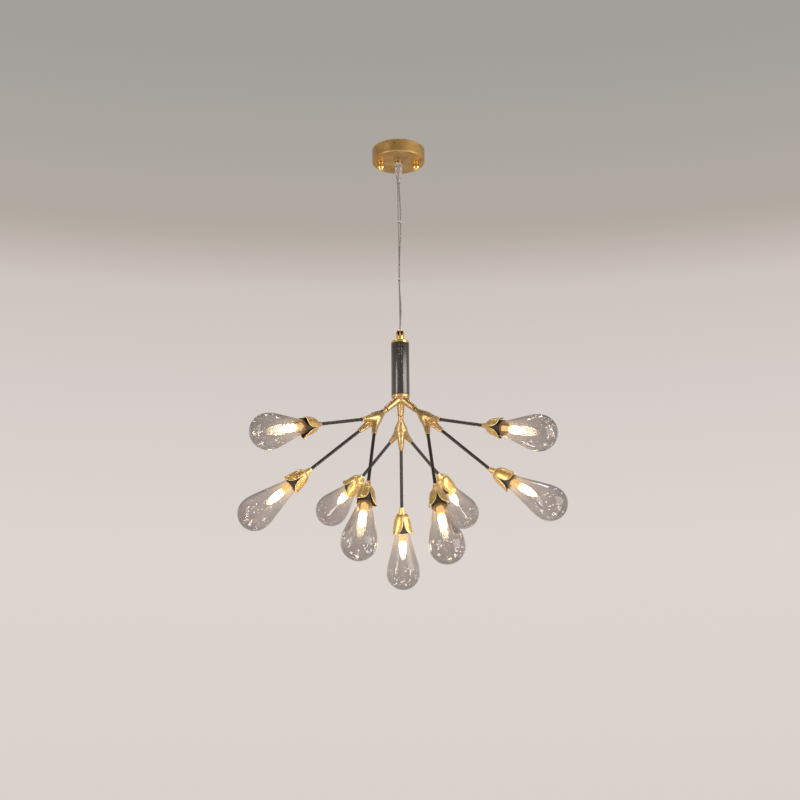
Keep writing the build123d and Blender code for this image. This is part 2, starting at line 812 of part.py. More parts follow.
def drop_outline(shell):
    """The drop's skin as a cone, a bend and a round end, moved in by a shell's thickness."""
    start = Vector(glass_body_r - shell, glass_body_l)
    belly = Vector(glass_r - shell, glass_tip_l - glass_r)
    bend_r = glass_turn_r - shell
    middle = belly - Vector(bend_r, 0)
    reach = start - middle
    turn = -math.degrees(math.atan2(reach.Y, reach.X) + math.acos(bend_r / reach.length))
    bend = CenterArc(middle, bend_r, -turn, turn)
    Line(start, bend @ 0)
    CenterArc((0, belly.Y), belly.X, 0, 90)


def glass_drop(arm):
    """A blown teardrop with an open neck that sits inside the holder's skirt."""
    frame = lamp_plane(arm)
    neck_r = skirt_bore_at(glass_neck_l) - seat_gap
    rim_r = skirt_bore_at(skirt_end_l) - seat_gap
    with BuildPart() as glass:
        with BuildSketch(section_of(frame)):
            with BuildLine():
                Polyline((neck_r, glass_neck_l), (rim_r, skirt_end_l), (glass_body_r, glass_body_l))
                drop_outline(0)
                Line((0, glass_tip_l), (0, glass_tip_l - glass_t))
                drop_outline(glass_t)
                Polyline(
                    (glass_body_r - glass_t, glass_body_l), (rim_r - glass_t, skirt_end_l),
                    (neck_r - glass_t, glass_neck_l), (neck_r, glass_neck_l),
                )
            make_face()
        revolve(axis=axis_of(frame))
    return glass.part


for arm in arms:
    keep(flower_cup(arm), f"flower_cup_{arm}")
    keep(lamp_holder(arm), f"lamp_holder_{arm}")
    keep(lamp_capsule(arm), f"lamp_{arm}")
    keep(glass_drop(arm), f"glass_{arm}")
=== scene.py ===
import json
import math

import bmesh
import bpy
from mathutils import Matrix, Vector


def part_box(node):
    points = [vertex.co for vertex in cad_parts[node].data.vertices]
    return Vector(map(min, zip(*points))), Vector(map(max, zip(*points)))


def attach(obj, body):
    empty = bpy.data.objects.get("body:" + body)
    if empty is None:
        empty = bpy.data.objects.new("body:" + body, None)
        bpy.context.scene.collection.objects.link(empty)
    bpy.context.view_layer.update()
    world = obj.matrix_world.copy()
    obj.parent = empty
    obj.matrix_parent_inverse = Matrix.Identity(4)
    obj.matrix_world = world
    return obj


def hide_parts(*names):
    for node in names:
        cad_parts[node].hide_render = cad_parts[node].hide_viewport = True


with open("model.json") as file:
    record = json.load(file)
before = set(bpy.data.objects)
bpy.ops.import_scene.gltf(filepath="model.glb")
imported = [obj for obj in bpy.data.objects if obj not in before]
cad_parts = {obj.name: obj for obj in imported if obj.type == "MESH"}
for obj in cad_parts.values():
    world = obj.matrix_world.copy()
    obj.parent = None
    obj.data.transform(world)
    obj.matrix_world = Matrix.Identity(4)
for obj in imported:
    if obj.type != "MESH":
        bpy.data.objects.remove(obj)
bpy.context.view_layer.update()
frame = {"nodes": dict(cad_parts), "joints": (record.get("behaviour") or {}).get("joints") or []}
mm = 0.001

# Sizes that repeat the model's, in millimetres
hub_drop = 494.4
tube_r = 16.7
tube_t = 1.4
tube_bottom_drop = 490.9
fork_reach = 51.2
fork_drop = 540.5
socket_l = 40.0
outlet_l = 38.7
capsule_end_l = 102.0
glass_body_l, glass_body_r = 51.0, 13.4
glass_tip_l = 158.5
glass_r = 31.0
glass_turn_r = 75.0
glass_t = 1.4
fork_azimuths = {"left": 210.0, "right": 330.0, "back": 90.0}

# Each arm: its fork, the azimuth and dip of its rod, and how far its petals are turned
arms = {
    "left_upper": ("left", 228.8, 16.4, 34.0),
    "left_lower": ("left", 178.1, 38.6, 44.0),
    "left_front": ("left", 258.5, 64.6, 106.0),
    "right_upper": ("right", 313.8, 17.9, 10.0),
    "right_lower": ("right", 359.8, 40.7, 34.0),
    "right_front": ("right", 285.0, 68.3, 56.0),
    "back_left": ("back", 122.0, 22.7, 50.0),
    "back_right": ("back", 59.8, 21.0, 84.0),
    "back_low": ("back", 89.7, 61.7, 78.0),
}


def heading(azimuth, dip):
    """The direction at an azimuth and a dip below the level, in degrees."""
    turn, drop = math.radians(azimuth), math.radians(dip)
    return Vector((math.cos(turn) * math.cos(drop), math.sin(turn) * math.cos(drop), -math.sin(drop)))


def frame_along(origin, axis, turn=0.0):
    """A matrix whose Z runs along the axis and whose X is level, turned about the axis."""
    level = Vector((0, 0, 1)).cross(axis).normalized()
    basis = Matrix((level, axis.cross(level), axis)).transposed().to_4x4()
    return Matrix.Translation(origin) @ basis @ Matrix.Rotation(math.radians(turn), 4, "Z")


def in_mm(place):
    """A frame that takes millimetres."""
    return place @ Matrix.Scale(mm, 4)


def lamp_frame(arm):
    """The lamp's frame: Z along its axis from the end of its rod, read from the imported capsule."""
    joint = next(j for j in frame["joints"] if j["name"] == f"glass_{arm}_draw")
    axis = Vector(joint["axis"]).normalized()
    points = [v.co for v in frame["nodes"][f"lamp_{arm}"].data.vertices]
    tip = max(points, key=lambda point: point.dot(axis))
    return in_mm(frame_along(tip - axis * capsule_end_l * mm, axis, arms[arm][3]))


# Node materials

clear_ior = 1.46


def fill_ramp(ramp, stops):
    """Sets a colour ramp's stops, given in rising order."""
    while len(ramp.elements) < len(stops):
        ramp.elements.new(1.0)
    for element, (place, color) in zip(ramp.elements, stops):
        element.position = place
        element.color = (*color, 1)


class Look:
    """A material with a principled shader and short calls for the nodes round it."""

    def __init__(self, name):
        self.material = bpy.data.materials.new(name)
        self.material.use_nodes = True
        self.tree = self.material.node_tree
        self.shader = self.tree.nodes["Principled BSDF"]

    def add(self, kind, inputs=None, **settings):
        node = self.tree.nodes.new(kind)
        for key, value in settings.items():
            setattr(node, key, value)
        for key, value in (inputs or {}).items():
            self.put(node, key, value)
        return node

    def put(self, node, key, value):
        """Links an input or, where the value isn't a socket, sets it."""
        socket = node.inputs[key]
        if isinstance(value, bpy.types.NodeSocket):
            self.tree.links.new(value, socket)
        else:
            socket.default_value = value

    def set(self, **values):
        """Sets the shader's inputs, whose names have underscores here."""
        for key, value in values.items():
            self.put(self.shader, key.replace("_", " "), value)

    def place(self):
        return self.add("ShaderNodeTexCoord").outputs["Object"]

    def from_neck_to_tip(self):
        """How far along a turned piece the spot is, from 0 to 1."""
        spot = self.add("ShaderNodeTexCoord").outputs["UV"]
        return self.add("ShaderNodeSeparateXYZ", {"Vector": spot}).outputs["Y"]

    def stretched(self, scale, place=None):
        node = self.add("ShaderNodeMapping", {"Vector": place or self.place(), "Scale": scale})
        return node.outputs["Vector"]

    def noise(self, scale, place=None, detail=3.0, roughness=0.55):
        inputs = {"Scale": scale, "Detail": detail, "Roughness": roughness, "Vector": place or self.place()}
        return self.add("ShaderNodeTexNoise", inputs).outputs["Fac"]

    def cells(self, scale, feature="SMOOTH_F1"):
        inputs = {"Scale": scale, "Vector": self.place()}
        return self.add("ShaderNodeTexVoronoi", inputs, feature=feature).outputs["Distance"]

    def spread(self, value, low, high, start=0.0, end=1.0):
        """The value's range from start to end, drawn out to run from low to high and held beyond."""
        inputs = {"Value": value, "From Min": start, "From Max": end, "To Min": low, "To Max": high}
        return self.add("ShaderNodeMapRange", inputs).outputs["Result"]

    def worked(self, operation, *values):
        """What a Math node makes of one or two values."""
        return self.add("ShaderNodeMath", dict(enumerate(values)), operation=operation).outputs[0]

    def ramp(self, value, *stops):
        node = self.add("ShaderNodeValToRGB", {"Fac": value})
        fill_ramp(node.color_ramp, stops)
        return node.outputs["Color"]

    def blended(self, factor, first, second):
        """A colour between two others, which the Mix node takes as its inputs 6 and 7."""
        inputs = {"Factor": factor, 6: first, 7: second}
        return self.add("ShaderNodeMix", inputs, data_type="RGBA").outputs[2]

    def bump(self, height, strength, depth, below=None):
        """A bump of a depth in millimetres, over another one where that is given."""
        inputs = {"Height": height, "Strength": strength, "Distance": depth * mm}
        if below:
            inputs["Normal"] = below
        return self.add("ShaderNodeBump", inputs).outputs["Normal"]


def brushed_gold():
    """Brushed round the drum's side and straight across its floor."""
    look = Look("brushed_gold")
    side = look.noise(1.0, look.stretched((60, 60, 9000)), detail=2.0)
    floor = look.noise(1.0, look.stretched((4200, 40, 60)), detail=2.0)
    normal = look.add("ShaderNodeNewGeometry").outputs["Normal"]
    facing = look.add("ShaderNodeSeparateXYZ", {"Vector": normal}).outputs["Z"]
    flat = look.spread(look.worked("ABSOLUTE", facing), 0, 1, 0.55, 0.8)
    grain = look.add("ShaderNodeMix", {"Factor": flat, "A": side, "B": floor}).outputs["Result"]
    patches = look.noise(38.0, detail=4.0)
    tone = look.spread(look.worked("ADD", grain, patches), 0, 1, 0.6, 1.4)
    look.set(
        Base_Color=look.ramp(tone, (0.1, (0.30, 0.17, 0.050)), (0.5, (0.46, 0.28, 0.094)),
                             (0.95, (0.66, 0.435, 0.175))),
        Metallic=0.92,
        Roughness=look.spread(grain, 0.34, 0.52, 0.3, 0.7),
        Normal=look.bump(grain, 0.4, 0.08),
    )
    return look.material


def polished_gold():
    """Polished gold with soft mottling in its colour, its gloss and its surface."""
    look = Look("polished_gold")
    mottle = look.noise(120.0, detail=4.0)
    grain = look.noise(600.0, roughness=0.6)
    look.set(
        Base_Color=look.ramp(mottle, (0.3, (0.70, 0.44, 0.12)), (0.7, (0.88, 0.62, 0.23))),
        Metallic=1.0,
        Roughness=look.spread(mottle, 0.175, 0.112, 0.3, 0.7),
        Normal=look.bump(grain, 0.5, 0.02),
    )
    return look.material


def petal_gold():
    """Hammered leaf gold, browner in patches and lighter at its sharp edges."""
    look = Look("petal_gold")
    dents = look.cells(330.0)
    fine = look.noise(1300.0)
    ribs = look.noise(1.0, look.stretched((520, 520, 150)))
    mottle = look.noise(210.0, detail=4.0)
    # A lighter colour at the petals' sharp edges, picked out by pointiness.
    sharp_edge_lightening = look.spread(look.add("ShaderNodeNewGeometry").outputs["Pointiness"], 0, 1, 0.5, 0.56)
    leaf = look.ramp(mottle, (0.3, (0.50, 0.28, 0.065)), (0.52, (0.79, 0.50, 0.15)),
                     (0.72, (0.92, 0.66, 0.26)))
    look.set(
        Base_Color=look.blended(sharp_edge_lightening, leaf, (0.98, 0.82, 0.50, 1)),
        Metallic=0.97,
        Roughness=look.spread(mottle, 0.42, 0.28, 0.3, 0.7),
        Normal=look.bump(fine, 0.18, 0.1, look.bump(ribs, 0.4, 0.3, look.bump(dents, 0.55, 0.8))),
    )
    return look.material


def cast_brass():
    """Satin cast brass with broad soft hollows and darker patches."""
    look = Look("cast_brass")
    broad = look.noise(55.0)
    skin = look.noise(240.0, detail=4.0)
    look.set(
        Base_Color=look.ramp(skin, (0.32, (0.38, 0.24, 0.095)), (0.55, (0.57, 0.39, 0.18)),
                             (0.75, (0.74, 0.54, 0.29))),
        Metallic=1.0,
        Roughness=look.spread(skin, 0.40, 0.30, 0.3, 0.7),
        Normal=look.bump(skin, 0.12, 0.08, look.bump(broad, 0.25, 0.8)),
    )
    return look.material


def satin(name, color, lighter, roughness, coat=0.0, grain=0.3, shine=0.5):
    """Satin paint or moulded plastic with a fine orange peel."""
    look = Look(name)
    mottle = look.noise(90.0, detail=4.0)
    peel = look.noise(1400.0, detail=2.0)
    look.set(
        Base_Color=look.ramp(mottle, (0.3, color), (0.75, lighter)),
        Specular_IOR_Level=shine,
        Roughness=look.spread(mottle, roughness * 1.15, roughness * 0.85, 0.3, 0.7),
        Coat_Weight=coat,
        Coat_Roughness=0.25,
        Normal=look.bump(peel, grain, 0.03),
    )
    return look.material


def steel(name, color, roughness, strand=None):
    """Plated or polished steel. A wire gets its strands as slanting ridges."""
    look = Look(name)
    mottle = look.noise(200.0)
    height = mottle
    if strand:
        ridges = {"Scale": strand, "Vector": look.place()}
        height = look.add("ShaderNodeTexWave", ridges, bands_direction="DIAGONAL").outputs["Fac"]
    look.set(
        Base_Color=look.ramp(mottle, (0.3, tuple(c * 0.8 for c in color)), (0.7, color)),
        Metallic=1.0,
        Roughness=look.spread(mottle, roughness * 1.2, roughness * 0.85, 0.3, 0.7),
        Normal=look.bump(height, 0.5, 0.15 if strand else 0.02),
    )
    return look.material


def clear(name, color, roughness, clearness):
    """Clear moulded plastic, a little hazy, with flow lines."""
    look = Look(name)
    flow = look.noise(1.0, look.stretched((900, 900, 160)))
    look.set(
        Base_Color=look.ramp(flow, (0.3, tuple(c * 0.93 for c in color)), (0.7, color)),
        Transmission_Weight=clearness,
        IOR=clear_ior,
        Roughness=look.spread(flow, roughness * 0.6, roughness * 1.4, 0.3, 0.7),
        Normal=look.bump(flow, 0.2, 0.05),
    )
    return look.material


def smoked_glass():
    """Blown smoked glass, clearer and warm at its neck, with drawn streaks and small seed bumps, a painted
    lamp glow near its neck and painted glints towards its tip.
    """
    look = Look("smoked_glass")
    along = look.from_neck_to_tip()
    skin = look.add("ShaderNodeTexCoord").outputs["UV"]
    streaks = look.noise(1.0, look.stretched((16, 1.4, 1), skin), detail=2.0)

    smoke = look.ramp(along, (0.0, (0.95, 0.86, 0.74)), (0.22, (0.89, 0.83, 0.765)),
                      (0.45, (0.79, 0.755, 0.73)), (0.78, (0.71, 0.68, 0.66)), (1.0, (0.57, 0.545, 0.53)))
    edge = look.add("ShaderNodeLayerWeight", {"Blend": 0.5}).outputs["Facing"]
    rim = look.spread(edge, 1.0, 0.5, 0.5, 1.0)
    drawn = look.spread(streaks, 0.94, 1.05, 0.35, 0.65)
    depth = look.worked("MULTIPLY", rim, drawn)
    tinted = look.add("ShaderNodeVectorMath", {0: smoke, 1: depth}, operation="MULTIPLY").outputs[0]

    # Painted glints: bright emissive dots that stand in for reflections of room lamps, in patches towards
    # the tip. The same cells also make the seed bumps.
    seed_bumps_and_glints = look.spread(look.cells(150.0, feature="F1"), 1, 0, 0.08, 0.18)
    glint_clusters = look.spread(look.noise(34.0), 0, 1, 0.47, 0.56)
    glint_spread = look.worked("MULTIPLY", look.spread(along, 0, 1, 0.5, 0.75), glint_clusters)
    painted_glints = look.worked("MULTIPLY", seed_bumps_and_glints, glint_spread)
    # Painted glow: warm emission near the neck that stands in for the lamp's light falling on the glass.
    painted_lamp_glow = look.ramp(along, (0.0, (0.07, 0.04, 0.014)), (0.12, (0.07, 0.039, 0.0125)), (0.42, (0, 0, 0)))
    look.set(
        Base_Color=tinted,
        Transmission_Weight=1.0,
        IOR=clear_ior,
        Roughness=0.0,
        Normal=look.bump(seed_bumps_and_glints, 0.5, 0.3, look.bump(streaks, 0.18, 1.0)),
        Emission_Color=look.blended(painted_glints, painted_lamp_glow, (2.0, 1.82, 1.6, 1)),
        Emission_Strength=1.0,
    )
    return look.material


def lit_capsule():
    """A lit lamp: white hot along its middle and warm yellow at its ends."""
    look = Look("lit_capsule")
    flame = ((0.0, (0.040, 0.022, 0.005)), (0.12, (0.20, 0.13, 0.045)), (0.3, (1.0, 0.85, 0.60)),
             (0.68, (0.9, 0.72, 0.44)), (0.9, (0.16, 0.10, 0.04)), (1.0, (0.05, 0.027, 0.009)))
    look.set(
        Base_Color=(0.9, 0.8, 0.6, 1),
        Roughness=0.3,
        Emission_Color=look.ramp(look.from_neck_to_tip(), *flame),
        Emission_Strength=26.0,
    )
    return look.material


def lamp_base():
    """Cream ceramic, glowing a little from the lamp above it."""
    look = Look("lamp_base")
    mottle = look.noise(260.0)
    look.set(
        Base_Color=look.ramp(mottle, (0.3, (0.80, 0.62, 0.36)), (0.7, (0.90, 0.76, 0.50))),
        Roughness=0.5,
        Emission_Color=(1.0, 0.66, 0.26, 1),
        Emission_Strength=0.55,
        Normal=look.bump(mottle, 0.3, 0.1),
    )
    return look.material


# Meshes

weld_reach = 1e-7


def add_object(name, data):
    obj = bpy.data.objects.new(name, data)
    bpy.context.scene.collection.objects.link(obj)
    return obj


def shade_smooth(mesh):
    mesh.polygons.foreach_set("use_smooth", [True] * len(mesh.polygons))


def piece(name, mesh, material, body):
    """A smooth piece of one material that rides on a body."""
    obj = add_object(name, mesh)
    shade_smooth(mesh)
    mesh.materials.append(material)
    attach(obj, body)
    return obj


def mesh_piece(name, vertices, faces, material, body, uvs=None):
    mesh = bpy.data.meshes.new(name)
    mesh.from_pydata([tuple(v) for v in vertices], [], faces)
    if uvs:
        layer = mesh.uv_layers.new(name="along")
        for loop in mesh.loops:
            layer.data[loop.index].uv = uvs[loop.vertex_index]
    mesh.update()
    return piece(name, mesh, material, body)


def outward(obj):
    """Welds doubled points and turns all faces outward."""
    shape = bmesh.new()
    shape.from_mesh(obj.data)
    bmesh.ops.remove_doubles(shape, verts=shape.verts, dist=weld_reach)
    bmesh.ops.recalc_face_normals(shape, faces=shape.faces)
    shape.to_mesh(obj.data)
    shape.free()


def bend_through(points, steps):
    """Points on a smooth curve that passes through the given ones."""
    ends = [points[0], *points, points[-1]]
    found = []
    for p0, p1, p2, p3 in zip(ends, ends[1:], ends[2:], ends[3:]):
        for step in range(steps):
            t = step / steps
            found.append(tuple(
                0.5 * (2 * b + (c - a) * t + (2 * a - 5 * b + 4 * c - d) * t**2
                       + (3 * b - a - 3 * c + d) * t**3)
                for a, b, c, d in zip(p0, p1, p2, p3)
            ))
    return [*found, points[-1]]


def turned(outline, place, segments):
    """Vertices and faces of an outline of (radius, height) that is turned about its frame's Z."""
    vertices, faces = [], []
    for r, along in outline:
        for step in range(segments):
            turn = 2 * math.pi * step / segments
            vertices.append(place @ Vector((r * math.cos(turn), r * math.sin(turn), along)))
    for row in range(len(outline) - 1):
        for step in range(segments):
            after = (step + 1) % segments
            a, b = row * segments, (row + 1) * segments
            faces.append((a + step, a + after, b + after, b + step))
    return vertices, faces


def lathe(name, outline, place, material, body, segments):
    """A turned piece whose texture coordinates run round it and from its lowest to its highest point."""
    low, high = min(along for r, along in outline), max(along for r, along in outline)
    uvs = [(step / segments, (along - low) / (high - low))
           for r, along in outline for step in range(segments)]
    return mesh_piece(name, *turned(outline, place, segments), material, body, uvs=uvs)


def modifier(obj, kind, **settings):
    made = obj.modifiers.new(kind.lower(), kind)
    for key, value in settings.items():
        setattr(made, key, value)


def apply_modifiers(obj):
    graph = bpy.context.evaluated_depsgraph_get()
    mesh = bpy.data.meshes.new_from_object(obj.evaluated_get(graph))
    obj.modifiers.clear()
    obj.data = mesh


def soften_edges(obj, width):
    """Rounds a piece's edges over a width in millimetres."""
    modifier(obj, "BEVEL", width=width * mm, segments=2)
    apply_modifiers(obj)


# Glass drops

glass_neck = [(11.9, 37.0), (12.4, 44.0), (12.5, 48.0)]
cone_steps, bend_steps, end_steps = 6, 10, 18


def drop_outline(shell):
    """The drop's skin from its neck to its tip: a cone, a bend and a round end, moved in by a shell."""
    start_r, bend_r, end_r = glass_body_r - shell, glass_turn_r - shell, glass_r - shell
    belly_l = glass_tip_l - glass_r
    reach = math.hypot(start_r - end_r + bend_r, glass_body_l - belly_l)
    lean = math.atan2(glass_body_l - belly_l, start_r - end_r + bend_r) + math.acos(bend_r / reach)
    bend = [lean * (1 - step / bend_steps) for step in range(bend_steps + 1)]
    points = [(end_r - bend_r + bend_r * math.cos(a), belly_l + bend_r * math.sin(a)) for a in bend]
    cone = [tuple(a + (b - a) * step / cone_steps for a, b in zip((start_r, glass_body_l), points[0]))
            for step in range(cone_steps)]
    turns = [math.pi / 2 * step / end_steps for step in range(1, end_steps + 1)]
    return cone + points + [(end_r * math.cos(a), belly_l + end_r * math.sin(a)) for a in turns]


def glass_drop(arm, material):
    outside = [*glass_neck, *drop_outline(0)]
    inside = [*((r - glass_t, along) for r, along in glass_neck), *drop_outline(glass_t)]
    outline = [*outside, *reversed(inside), glass_neck[0]]
    obj = lathe(f"drop_{arm}", outline, lamp_frame(arm), material, f"glass_{arm}", segments=96)
    outward(obj)
    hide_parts(f"glass_{arm}")


# Capsule lamps, whose heights are counted from the rod's end as in the model

shoulder_l = 64.0
lamp_base_size = (12.4, 8.6, 16.0)
lamp_base_l = 55.4
lamp_base_round = 1.4
pin_r = 0.4
pin_from, pin_to = 38.4, 47.8
pin_out = 4.5


def capsule(arm, hot, base_material, pin_material):
    place = lamp_frame(arm)
    body = f"lamp_{arm}"
    low, tip = shoulder_l, capsule_end_l
    skin = [(4.8, low - 1.0), (5.6, low + 0.8), (6.4, low + 7.0), (6.5, tip - 24.0), (5.6, tip - 16.0),
            (4.1, tip - 9.0), (2.6, tip - 4.0), (1.2, tip - 1.0), (0.0, tip)]
    outline = [(0.0, low - 1.0), *bend_through(skin, 4)]
    tube = lathe(f"capsule_{arm}", outline, place, hot, body, segments=32)
    outward(tube)
    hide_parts(f"lamp_{arm}")
    block = box_piece(f"capsule_base_{arm}", place, lamp_base_size, (0, 0, lamp_base_l), lamp_base_round,
                      base_material, body)
    for side, x in (("a", -pin_out), ("b", pin_out)):
        outline = [(0.0, pin_from), (pin_r, pin_from), (pin_r, pin_to), (0.0, pin_to)]
        pin_place = place @ Matrix.Translation((x, 0, 0))
        pin = lathe(f"capsule_pin_{side}_{arm}", outline, pin_place, pin_material, body, segments=12)


def box_piece(name, place, size, centre, round_r, material, body):
    """A box with rounded edges."""
    shape = bmesh.new()
    bmesh.ops.create_cube(shape, size=1.0)
    for vertex in shape.verts:
        vertex.co = Vector(c * s for c, s in zip(vertex.co, size)) + Vector(centre)
    bmesh.ops.bevel(shape, geom=shape.edges[:], offset=round_r, segments=4, profile=0.5, affect="EDGES")
    mesh = bpy.data.meshes.new(name)
    shape.to_mesh(mesh)
    shape.free()
    mesh.transform(place)
    return piece(name, mesh, material, body)


# Flower cups: nipple and bell as (radius, height), a petal's edge as (share of its length, half its width
# in degrees about the cup's axis)

nipple = [(2.9, 0.0), (3.7, 0.0), (4.05, 0.35), (4.6, 3.2), (5.4, 6.6), (6.3, 10.2), (6.75, 11.6),
          (6.9, 12.2), (6.75, 12.8), (6.3, 13.1), (6.3, 13.6), (7.4, 13.9), (9.4, 15.0), (9.4, 16.6),
          (7.5, 17.0), (0.0, 17.0)]
bell = [(8.2, 13.2), (10.9, 15.4), (13.6, 20.5), (15.3, 27.0), (16.6, 34.0), (17.7, 40.5), (19.4, 45.6),
        (22.2, 48.6)]
petal_edge = [(0.0, 59.8), (0.35, 59.2), (0.5, 56.5), (0.62, 51.0), (0.75, 41.0), (0.86, 29.0),
              (0.95, 13.0), (1.0, 0.8)]
petal_t = 1.15
petal_count = 3
petal_rows, petal_columns = 30, 15

# Past its smooth root a petal departs from the bell, in millimetres that grow with its length. The rib's
# width is a share of the petal's half width, and the wave turns along it, across it and from petal to petal
smooth_share = 0.25
hollow, edge_lift, rib_h, wave_h = 3.4, 2.2, 0.5, 0.9
rib_w = 0.16
wave_along, wave_across, wave_shift = 11, 2.6, 2.4


def between(pairs, share):
    """The second value of a list of pairs, where the first one has reached a share."""
    for (a, low), (b, high) in zip(pairs, pairs[1:]):
        if a <= share <= b:
            return low + (high - low) * (share - a) / (b - a)
    return pairs[-1][1]


def petal_point(line, index, row, column):
    """A point of a petal's outer side: on the bell, hollowed, ribbed in the middle and wavy at the edge."""
    along = row / petal_rows
    across = 2 * column / petal_columns - 1
    spot = along * (len(line) - 1)
    low = min(int(spot), len(line) - 2)
    part = spot - low
    r, z = (a + (b - a) * part for a, b in zip(line[low], line[low + 1]))
    ease = max(0.0, along - smooth_share)
    cup_in = -hollow * ease * across**2 + edge_lift * ease**2 * across**6
    rib = rib_h * ease * math.exp(-(across / rib_w) ** 2)
    wave_turn = wave_along * along + wave_shift * index + wave_across * across
    wave = wave_h * ease * math.sin(wave_turn) * abs(across)
    radius = r + cup_in + rib + wave
    turn = math.radians(index * 360 / petal_count + between(petal_edge, along) * across)
    return Vector((radius * math.cos(turn), radius * math.sin(turn), z))


def petal(arm, index, place, material):
    """A pointed leaf, hollowed along its middle, with a wavy edge and a tip that curls out."""
    line = bend_through(bell, 5)
    vertices = [place @ petal_point(line, index, row, column)
                for row in range(petal_rows + 1) for column in range(petal_columns + 1)]
    faces = []
    for row in range(petal_rows):
        for column in range(petal_columns):
            a = row * (petal_columns + 1) + column
            faces.append((a, a + 1, a + petal_columns + 2, a + petal_columns + 1))
    obj = mesh_piece(f"petal_{index + 1}_{arm}", vertices, faces, material, f"fork_{arms[arm][0]}")
    modifier(obj, "SOLIDIFY", thickness=petal_t * mm, offset=-1.0, use_rim=True)
    modifier(obj, "SUBSURF", levels=1, render_levels=1)
    apply_modifiers(obj)


def flower_cup(arm, material):
    place = lamp_frame(arm)
    root = lathe(f"cup_nipple_{arm}", nipple, place, material, f"fork_{arms[arm][0]}", segments=48)
    outward(root)
    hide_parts(f"flower_cup_{arm}")
    for index in range(petal_count):
        petal(arm, index, place, material)


# Tube and cord grip

upright = in_mm(Matrix.Identity(4))
tube_edge = 0.3
grip_neck = -30.0
grip_bore_r, grip_shank_r = 2.8, 5.0


def tube_piece(material):
    """The dark tube, with rounded ends."""
    low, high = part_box("body_tube")
    bottom, top = low[2] / mm, high[2] / mm
    bore = tube_r - tube_t
    outline = [(bore, bottom), (tube_r - tube_edge, bottom), (tube_r, bottom + tube_edge),
               (tube_r, top - tube_edge), (tube_r - tube_edge, top), (bore, top), (bore, bottom)]
    tube = lathe("dark_tube", outline, upright, material, "stem", segments=128)
    outward(tube)
    soften_edges(tube, 0.12)
    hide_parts("body_tube")


def grip_sleeve(material):
    """The clear grip: a shank through the nuts, a narrow neck, a shoulder and a long taper to the cord."""
    low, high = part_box("cord_grip")
    top, tip = high[2] / mm, low[2] / mm
    neck = grip_neck
    skin = bend_through([(3.7, neck - 0.8), (4.4, neck - 3.0), (6.7, neck - 7.6), (7.2, neck - 11.0),
                         (6.9, neck - 18.0), (5.3, neck - 27.0), (3.1, tip)], 4)
    shank = [(grip_bore_r, top), (grip_shank_r, top), (grip_shank_r, neck - 0.1), (3.7, neck - 0.3)]
    outline = [*shank, *skin, (grip_bore_r, tip), (grip_bore_r, top)]
    sleeve = lathe("grip_sleeve", outline, upright, material, "ceiling_mount", segments=48)
    outward(sleeve)
    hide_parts("cord_grip")


# Castings: solid turned shapes joined, remeshed and smoothed where they meet

hub_centre = Vector((0, 0, -hub_drop * mm))
stem_dip = math.degrees(math.atan2(fork_drop - hub_drop, fork_reach))
stem_l = math.hypot(fork_reach, fork_drop - hub_drop)
collar_gap = 0.3
arm_segments, bowl_segments = 40, 64


def solid(skin, place, segments):
    """Vertices and faces of a turned solid, closed at both ends of a smooth skin."""
    outline = bend_through(skin, 4)
    return turned([(0.0, outline[0][1]), *outline, (0.0, outline[-1][1])], place, segments)


def casting(name, solids, material, body, node, voxel, smooth):
    """Turned solids under one skin, which is made of voxels of a size in millimetres and smoothed."""
    vertices, faces = [], []
    for own_vertices, own_faces in solids:
        start = len(vertices)
        vertices += own_vertices
        faces += [tuple(index + start for index in face) for face in own_faces]
    obj = mesh_piece(name, vertices, faces, material, body)
    outward(obj)
    modifier(obj, "REMESH", mode="VOXEL", voxel_size=voxel * mm, use_smooth_shade=True)
    modifier(obj, "SMOOTH", factor=0.5, iterations=smooth)
    apply_modifiers(obj)
    shade_smooth(obj.data)
    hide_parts(node)


def fork_centre(fork):
    turn = math.radians(fork_azimuths[fork])
    return Vector((fork_reach * math.cos(turn), fork_reach * math.sin(turn), -fork_drop)) * mm


def stem_place(fork):
    return in_mm(frame_along(hub_centre, heading(fork_azimuths[fork], stem_dip)))


def fork_piece(fork, material):
    """A stem with a collar at its socket, and three outlets that flare into one another."""
    collar = socket_l + collar_gap
    stem = [(3.8, collar), (3.9, collar + 1.2), (4.9, collar + 2.6), (4.8, collar + 6.5),
            (5.8, collar + 12.0), (8.6, collar + 19.0), (11.6, stem_l)]
    outlet = [(11.6, 0.0), (10.9, 5.0), (8.3, 12.0), (6.2, 21.0), (4.9, 31.0), (4.3, outlet_l)]
    solids = [solid(stem, stem_place(fork), arm_segments)]
    for arm in arms.values():
        if arm[0] == fork:
            place = in_mm(frame_along(fork_centre(fork), heading(*arm[1:3])))
            solids.append(solid(outlet, place, arm_segments))
    casting(f"casting_{fork}", solids, material, f"fork_{fork}", f"fork_{fork}", voxel=0.55, smooth=10)


